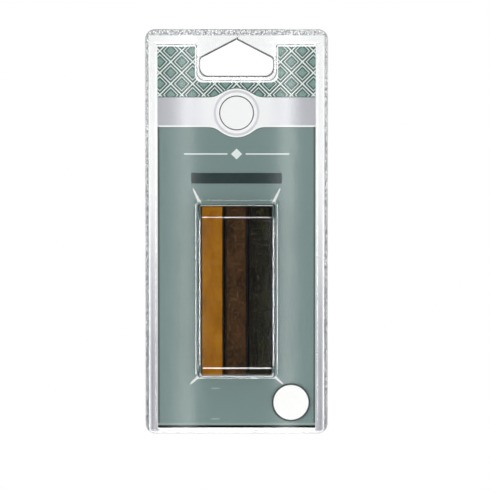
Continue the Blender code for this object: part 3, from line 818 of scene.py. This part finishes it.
def web_mesh(s, face_y):
    """Four tapered folds. Along a fold, t from 0 to 1, its width and height fall as sqrt(1 - t^2) to a
    tip of 0.04, and its section is half an ellipse sunk 0.15 mm into the face, so that it grows out of
    the sheet. The top folds rise at 64 degrees and the lower ones fall at 43."""
    corners = bubble_corners(s)
    root_depth = s.bubble_corner * (1 - math.sqrt(0.5)) + 1.0 * MM
    extra, tip, thin = 0.4 * MM, 0.04, 0.01 * MM
    sunk_y = face_y - s.sheet / 2 + 0.15 * MM
    t = np.linspace(0, 1, 24)[:, None]
    phase = np.linspace(0, math.pi, 17)[None, :]
    taper = np.sqrt(1 - t ** 2) * (1 - tip) + tip
    wide = s.web_width / 2 * taper * np.cos(phase)
    high = s.web_rise * taper * np.sin(phase)
    points, faces = [], []
    for corner, side, up, reach, angle in (
        (corners[3], -1, 1, s.web_top, 64), (corners[2], 1, 1, s.web_top, 64),
        (corners[0], -1, -1, s.web_lower, 43), (corners[1], 1, -1, s.web_lower, 43),
    ):
        turn = math.radians(angle)
        along = np.array([side * math.cos(turn), up * math.sin(turn)])
        across = np.array([-along[1], along[0]])
        root = corner - np.array([side, up]) * root_depth
        plan = root + along * (reach + extra) * t[..., None] + across * wide[..., None]
        top = np.stack([plan[..., 0], sunk_y - high, plan[..., 1]], axis=-1)
        floor = np.stack([plan[..., 0], np.full(wide.shape, sunk_y + thin), plan[..., 1]], axis=-1)
        ring = np.concatenate([top, floor[:, ::-1][:, 1:-1]], axis=1)
        rows, columns = ring.shape[:2]
        base = sum(len(p) for p in points)
        points.append(ring.reshape(-1, 3))
        first = base + np.arange(columns)
        faces += (grid_quads(rows, columns, True) + base).tolist()
        faces += [first[::-1].tolist(), (first + (rows - 1) * columns).tolist()]
    return np.concatenate(points), faces


def let_lamps_through(obj):
    """Clear sheet neither shades what lies behind it nor gathers light for it."""
    obj.visible_shadow = False
    obj.visible_diffuse = False


class PACK_OT_front_shell(bpy.types.Operator):
    """Make the clear front shell with its tray, bubble, knurled seal and corner folds"""

    bl_idname = "pack.front_shell"
    bl_label = "Front Shell"

    def execute(self, context):
        s = context.scene.pack_shell
        rim_y = -(s.card_gap + s.sheet) / 2
        face_y = CARD_LOW.y - s.card_gap - s.sheet / 2
        roof_y = FRONT_LOW.y + s.sheet / 2
        parts = shell_mesh(s, rim_y, rim_y - face_y, 0, s.side_run, s.end_run, face_y - roof_y, 1)
        shell = shell_object("clear_front", parts, clear_pet(s))
        let_lamps_through(shell)
        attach(shell, "front")
        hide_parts("front_shell")
        points, faces = web_mesh(s, face_y)
        # The folds are coloured white as a painted highlight
        webs = new_object("corner_folds", points, faces, white_highlight_pet())
        let_lamps_through(webs)
        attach(webs, "front")
        return {"FINISHED"}


class PACK_OT_back_shell(bpy.types.Operator):
    """Make the clear back shell with its plug and knurled seal"""

    bl_idname = "pack.back_shell"
    bl_label = "Back Shell"

    def execute(self, context):
        s = context.scene.pack_shell
        rim_y = BACK_HIGH.y - s.sheet / 2
        plug_y = BACK_LOW.y + s.sheet / 2
        parts = shell_mesh(s, rim_y, rim_y - plug_y, s.plug_inset, s.plug_run, s.plug_run, 0, -1)
        shell = shell_object("clear_back", parts, bpy.data.materials["thermoformed clear PET"])
        let_lamps_through(shell)
        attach(shell, "back")
        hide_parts("back_shell")
        return {"FINISHED"}


class PACK_OT_card(bpy.types.Operator):
    """Print the insert card"""

    bl_idname = "pack.card"
    bl_label = "Printed Card"

    def execute(self, context):
        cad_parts["insert_card"].data.materials[0] = printed_board(context.scene.pack_colours)
        return {"FINISHED"}


class PACK_OT_label(bpy.types.Operator):
    """Finish the round shade label"""

    bl_idname = "pack.label"
    bl_label = "Shade Label"

    def execute(self, context):
        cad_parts["shade_label"].data.materials[0] = label_paper(context.scene.pack_colours)
        return {"FINISHED"}


class PACK_OT_crayons(bpy.types.Operator):
    """Cast the three wax crayons"""

    bl_idname = "pack.crayons"
    bl_label = "Wax Crayons"

    def execute(self, context):
        c = context.scene.pack_colours
        # Base, light, deep and speck colours, strength of the flecks, and the shift and width in mm of the
        # painted shade on the long edges
        waxes = {
            "ochre": (c.ochre, "#a16b0c", "#7e4d02", "#b8892a", 0.5, -0.25, 0.45),
            "brown": (c.brown, "#4a2f18", "#1f1302", "#70543a", 0.55, -0.2, 1.1),
            "dark": (c.dark, "#191706", "#010100", "#4c4929", 0.7, 0, 1.3),
        }
        for seed, (name, (base, *tones, fleck, shift, arris)) in enumerate(waxes.items()):
            low, high = CRAYON_BOXES[name]
            middle, half = (low.x + high.x) / 2 + shift * MM, (high.x - low.x) / 2
            tones = [linear(tone) for tone in tones]
            wax = cast_wax("cast %s wax" % name, base, *tones, fleck, middle, half, arris * MM)
            cut = Vector((high.x, high.y, high.z - context.scene.pack_shell.crayon_trim))
            points, faces = crayon_mesh(low, cut, seed + 1)
            bar = new_object("wax_bar_" + name, points, faces, wax)
            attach(bar, name)
            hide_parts("crayon_" + name)
        return {"FINISHED"}


class PACK_OT_stage(bpy.types.Operator):
    """Set up the floor, the lamps, the white backdrop and the camera"""

    bl_idname = "pack.stage"
    bl_label = "Stage"

    def execute(self, context):
        scene = context.scene
        aim = Vector((3.69 * MM, 0, -90 * MM))  # middle of the photograph's frame

        def stand(name, data, azimuth, elevation, distance):
            """Object that faces the pack, at an azimuth to the right of its front and an elevation."""
            a, e = math.radians(azimuth), math.radians(elevation)
            direction = Vector((math.sin(a) * math.cos(e), -math.cos(a) * math.cos(e), math.sin(e)))
            obj = bpy.data.objects.new(name, data)
            obj.location = aim + direction * distance
            obj.rotation_euler = direction.to_track_quat("Z", "Y").to_euler()
            scene.collection.objects.link(obj)
            return obj

        # Rectangular lamps: azimuth, elevation, distance in m, width and height as angles seen from the
        # pack, and radiance. The bars draw bright lines along the bends, the fills light the card, and the
        # streaks lie on the tray's face.
        for name, azimuth, elevation, distance, wide, high, radiance in (
            ("left bar", -54, -5, 2.5, 24, 9, 11.6), ("right bar", 54, -5, 2.5, 24, 9, 11.6),
            ("left fill", -18, 18, 2.0, 30, 16, 1.05), ("right fill", 18, 18, 2.0, 30, 16, 1.05),
            ("top bar", 0, 19, 1.6, 5, 16, 14), ("lower bar", 0, -33, 1.0, 5, 30, 10),
            ("overhead bar", 0, 66, 1.0, 24, 16, 5), ("under bar", 0, -74, 0.6, 24, 7, 8),
            ("left streak", -1.16, -5, 2.5, 0.27, 12, 1.1),
            ("wide left streak", -1.28, -5, 2.5, 0.5, 12, 0.65),
            ("right streak", 0.85, -5, 2.5, 0.2, 12, 2.3),
            ("wide right streak", 0.85, -5, 2.5, 0.42, 12, 0.9),
        ):
            data = bpy.data.lights.new(name, "AREA")
            data.shape = "RECTANGLE"
            data.size = 2 * distance * math.tan(math.radians(wide) / 2)
            data.size_y = 2 * distance * math.tan(math.radians(high) / 2)
            data.energy = radiance * math.pi * data.size * data.size_y
            stand(name, data, azimuth, elevation, distance)

        # Matt paint on a board: pale, with a faint cloudiness of about 25 mm
        floor_material, tree, shader = new_material("matt painted board")
        place = add(tree, "TexCoord")["Object"]
        cloud = add(tree, "TexNoise", inputs={"Vector": place, "Scale": 1 / (25 * MM)})[0]
        tone = add(tree, "ValToRGB", inputs={"Fac": cloud})
        set_ramp(tone, [(0, linear("#e9e9e8")), (1, linear("#efefee"))], "LINEAR")
        tree.links.new(tone[0], shader.inputs["Base Color"])
        shader.inputs["Roughness"].default_value = 0.8
        half, floor_z, count = 0.45, -1.1, 9
        x, y = np.meshgrid(np.linspace(-half, half, count), np.linspace(-half, half, count))
        ground = np.stack([x, y, np.full(x.shape, floor_z)], axis=-1).reshape(-1, 3)
        floor = new_object("floor", ground, grid_quads(count, count, False).tolist(), floor_material)

        # White backdrop behind the pack, whole within 55 degrees of +Y and gone at 85
        world = bpy.data.worlds.new("studio")
        scene.world = world
        world.use_nodes = True
        tree = world.node_tree
        rays = add(tree, "LightPath")
        way = add(tree, "TexCoord")["Generated"]
        depth = add(tree, "SeparateXYZ", inputs={0: way})["Y"]
        backdrop = add(
            tree, "MapRange", {"interpolation_type": "SMOOTHSTEP"},
            {"Value": depth, "From Min": math.cos(math.radians(85)), "From Max": math.cos(math.radians(55))},
        )[0]
        unmirrored = add(tree, "Math", {"operation": "LESS_THAN"}, {0: rays["Glossy Depth"], 1: 0.5})[0]
        through = add(
            tree, "Math", {"operation": "MULTIPLY"}, {0: rays["Is Transmission Ray"], 1: unmirrored}
        )[0]

        # Strength of the soft light all round, and what takes its place: little for rays that a surface
        # mirrors or the sheet bends, white at the backdrop, white straight through the sheet, with what
        # its faces reflect made up for, and white for the camera
        strength = 0.3
        for share, other in (
            (rays["Is Glossy Ray"], 0.01), (rays["Is Transmission Ray"], 0.08), (backdrop, 1.04),
            (through, 1.1), (rays["Is Camera Ray"], 1.0),
        ):
            strength = add(tree, "Mix", {"data_type": "FLOAT"}, {0: share, 2: strength, 3: other})[0]
        tree.links.new(strength, tree.nodes["Background"].inputs["Strength"])
        tree.nodes["Background"].inputs["Color"].default_value = (1, 1, 1, 1)

        distance, elevation = 2.5, 5
        data = bpy.data.cameras.new("camera")
        data.sensor_width = 36
        data.lens = data.sensor_width * distance / (IMAGE_WIDTH * PIXEL)
        data.clip_end = 50
        scene.camera = stand("camera", data, 0, elevation, distance)
        scene.view_settings.view_transform = "Standard"
        return {"FINISHED"}


class PACK_PT_sidebar(bpy.types.Panel):
    """Sizes, colours and steps of the pack"""

    bl_idname = "PACK_PT_sidebar"
    bl_label = "Crayon Pack"
    bl_space_type = "VIEW_3D"
    bl_region_type = "UI"
    bl_category = "Crayon Pack"

    def draw(self, context):
        layout = self.layout
        for group in (context.scene.pack_shell, context.scene.pack_colours):
            box = layout.box()
            for name in group.__annotations__:
                box.prop(group, name)
        for step in STEPS:
            layout.operator(step.bl_idname)


STEPS = (
    PACK_OT_front_shell, PACK_OT_back_shell, PACK_OT_card, PACK_OT_label, PACK_OT_crayons, PACK_OT_stage,
)
CLASSES = (PackShellSizes, PackColours) + STEPS + (PACK_PT_sidebar,)


def register():
    for cls in CLASSES:
        bpy.utils.register_class(cls)
    bpy.types.Scene.pack_shell = PointerProperty(type=PackShellSizes)
    bpy.types.Scene.pack_colours = PointerProperty(type=PackColours)


def unregister():
    del bpy.types.Scene.pack_colours
    del bpy.types.Scene.pack_shell
    for cls in reversed(CLASSES):
        bpy.utils.unregister_class(cls)


def main():
    register()
    bpy.ops.pack.front_shell()
    bpy.ops.pack.back_shell()
    bpy.ops.pack.card()
    bpy.ops.pack.label()
    bpy.ops.pack.crayons()
    bpy.ops.pack.stage()


if __name__ == "__main__":
    main()
